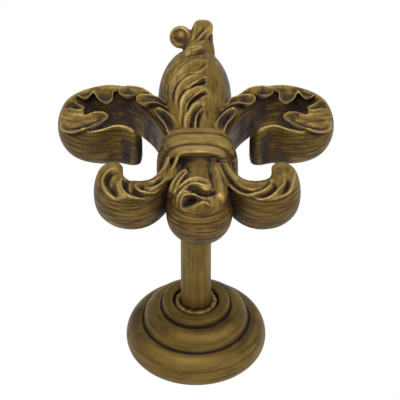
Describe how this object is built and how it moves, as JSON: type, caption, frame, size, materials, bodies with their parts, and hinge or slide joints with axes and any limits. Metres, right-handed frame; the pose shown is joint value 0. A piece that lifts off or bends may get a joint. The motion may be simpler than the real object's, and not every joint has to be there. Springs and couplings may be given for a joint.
{
  "type": "curtain holdback",
  "caption": "Curtain holdback: a cast fleur-de-lis with curled acanthus leaves on a round post, standing off a stepped round wall rosette that covers its screw plate.",
  "frame": {"origin": "On the wall face, at the centre of the wall plate's screw circle and on the axis of the post", "axes": "+Z out from the wall along the post, +Y to the top of the fleur-de-lis, +X to its right as seen from the room"},
  "size_m": [0.144, 0.1438, 0.1475],
  "materials": {
    "ornament": "cast resin in antique gold, brushed over dark wax",
    "rosette": "cast resin in antique gold, brushed round",
    "post": "antique gold paint, brushed along the post",
    "plate": "antique gold paint on a zinc casting",
    "fasteners": "zinc plated"
  },
  "bodies": {
    "root": {"fleur_de_lis": "ornament", "base_rosette": "rosette", "post": "post", "wall_plate": "plate", "tie_rod": "fasteners", "tie_nut": "fasteners", "tie_washer": "fasteners"}
  },
  "joints": []
}
